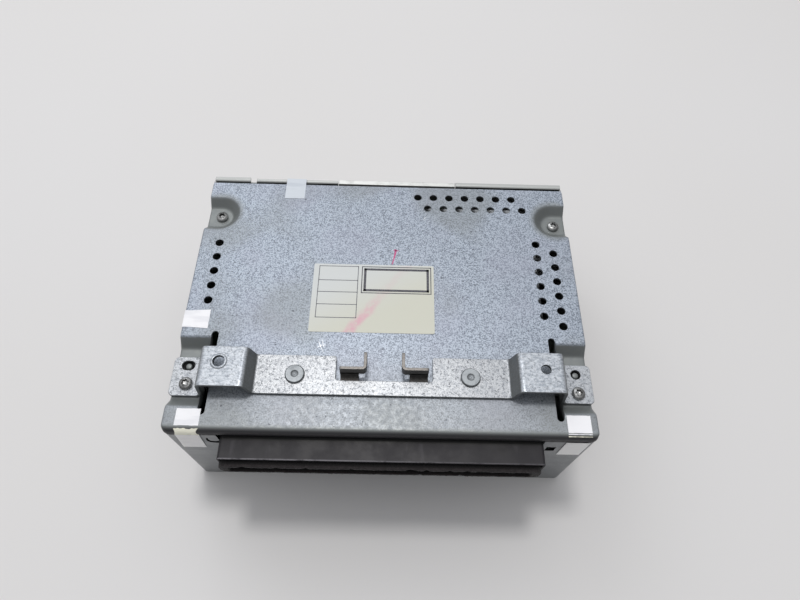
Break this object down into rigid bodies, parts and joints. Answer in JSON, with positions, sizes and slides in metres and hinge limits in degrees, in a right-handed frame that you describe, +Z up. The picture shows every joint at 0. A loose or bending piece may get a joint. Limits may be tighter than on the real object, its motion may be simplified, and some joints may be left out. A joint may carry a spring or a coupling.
{
  "type": "car radio",
  "caption": "Flat sheet-metal car radio with a disc slot nose, foam gasket, vented top cover, zinc mounting bracket and rear heat sink.",
  "frame": {"origin": "middle of the case underside, 66 mm behind the front wall", "axes": "+X to the right seen from the front, +Y to the back, +Z up"},
  "size_m": [0.1828, 0.154, 0.0767],
  "materials": {
    "case_sheet": "galvanised, blue-grey spangle with fine dark specks",
    "zinc_bracket": "bright zinc with dark specks",
    "back_sheet": "satin warm grey",
    "bright_steel": "bright zinc",
    "cast_aluminium": "cast, satin",
    "black_plastic": "fine matt texture",
    "black_foam": "old crumbling foam",
    "black_rubber": "matt",
    "label_paper": "printed film label, cream",
    "seal_paper": "white sticker",
    "green_board": "lacquered board",
    "tinned_steel": "tinned sheet",
    "grey_plastic": "plain",
    "white_plastic": "plain",
    "blue_sleeve": "shrink sleeve",
    "lens_glass": "clear lens",
    "ribbon_film": "flat flexible lead"
  },
  "bodies": {
    "case": {"top_cover": "case_sheet", "case_walls": "case_sheet", "bottom_cover": "case_sheet", "back_panel": "back_sheet", "heat_sink": "cast_aluminium", "mounting_bracket": "zinc_bracket", "bracket_rivet_left": "bright_steel", "bracket_rivet_right": "bright_steel", "bracket_screw_left": "bright_steel", "bracket_screw_right": "bright_steel", "cover_screw_back_left": "bright_steel", "cover_screw_back_right": "bright_steel", "bottom_screw_front_left": "bright_steel", "bottom_screw_back_left": "bright_steel", "bottom_screw_front_right": "bright_steel", "bottom_screw_back_right": "bright_steel", "info_label": "label_paper", "seal_back": "seal_paper", "seal_left": "seal_paper", "seal_front_left": "seal_paper", "seal_front_right": "seal_paper", "slot_nose": "black_plastic", "slot_foam": "black_foam", "main_board": "green_board", "tuner_can": "tinned_steel", "processor_shield": "tinned_steel", "amplifier_chip": "black_plastic", "power_capacitor_left": "blue_sleeve", "power_capacitor_right": "blue_sleeve", "main_connector": "black_plastic", "network_connector": "grey_plastic", "aerial_socket_left": "white_plastic", "aerial_socket_right": "white_plastic", "ribbon_socket": "white_plastic", "drive_ribbon": "ribbon_film", "drive_frame": "tinned_steel", "drive_lid": "tinned_steel", "drive_deck": "tinned_steel", "rubber_damper_1": "black_rubber", "rubber_damper_2": "black_rubber", "rubber_damper_3": "black_rubber", "rubber_damper_4": "black_rubber", "loading_motor": "bright_steel", "disc_guide": "black_plastic", "spindle_motor": "bright_steel", "guide_rail_front": "bright_steel", "guide_rail_back": "bright_steel", "feed_motor": "bright_steel"},
    "shutter": {"slot_shutter": "black_plastic"},
    "roller": {"loading_roller": "black_rubber", "roller_wheel": "white_plastic"},
    "idler": {"idler_wheel": "white_plastic"},
    "pinion": {"motor_pinion": "bright_steel"},
    "turntable": {"turntable": "black_plastic"},
    "sled": {"laser_sled": "cast_aluminium", "objective_lens": "lens_glass"},
    "feed_screw": {"feed_screw": "bright_steel"},
    "clamp_arm": {"clamp_arm": "tinned_steel"},
    "clamp_wheel": {"clamp_wheel": "black_plastic"}
  },
  "joints": [
    {"name": "shutter_swing", "type": "hinge", "parent": "case", "child": "shutter", "pos_m": [0, -0.0704, 0.059], "axis": [1, 0, 0], "range_deg": [0, 75]},
    {"name": "roller_spin", "type": "hinge", "parent": "case", "child": "roller", "pos_m": [0, -0.052, 0.05045], "axis": [1, 0, 0], "continuous": true},
    {"name": "idler_spin", "type": "hinge", "parent": "case", "child": "idler", "pos_m": [0.066, -0.0396, 0.05045], "axis": [1, 0, 0], "continuous": true},
    {"name": "pinion_spin", "type": "hinge", "parent": "case", "child": "pinion", "pos_m": [0.066, -0.02836, 0.04521], "axis": [1, 0, 0], "continuous": true},
    {"name": "turntable_spin", "type": "hinge", "parent": "case", "child": "turntable", "pos_m": [0, 0, 0.05475], "axis": [0, 0, 1], "continuous": true},
    {"name": "sled_slide", "type": "slide", "parent": "case", "child": "sled", "axis": [1, 0, 0], "range_m": [0, 0.034]},
    {"name": "feed_screw_turn", "type": "hinge", "parent": "case", "child": "feed_screw", "pos_m": [0, 0.0235, 0.047], "axis": [1, 0, 0], "range_deg": [0, 4080]},
    {"name": "clamp_arm_swing", "type": "hinge", "parent": "case", "child": "clamp_arm", "pos_m": [0, 0.052, 0.05925], "axis": [1, 0, 0], "range_deg": [0, 2]},
    {"name": "clamp_wheel_spin", "type": "hinge", "parent": "clamp_arm", "child": "clamp_wheel", "pos_m": [0, 0, 0.05475], "axis": [0, 0, 1], "continuous": true}
  ],
  "couplings": [
    {"joint": "idler_spin", "follows": "roller_spin", "ratio": -0.47619},
    {"joint": "pinion_spin", "follows": "roller_spin", "ratio": 1},
    {"joint": "feed_screw_turn", "follows": "sled_slide", "rad_per_m": 2094.4}
  ]
}
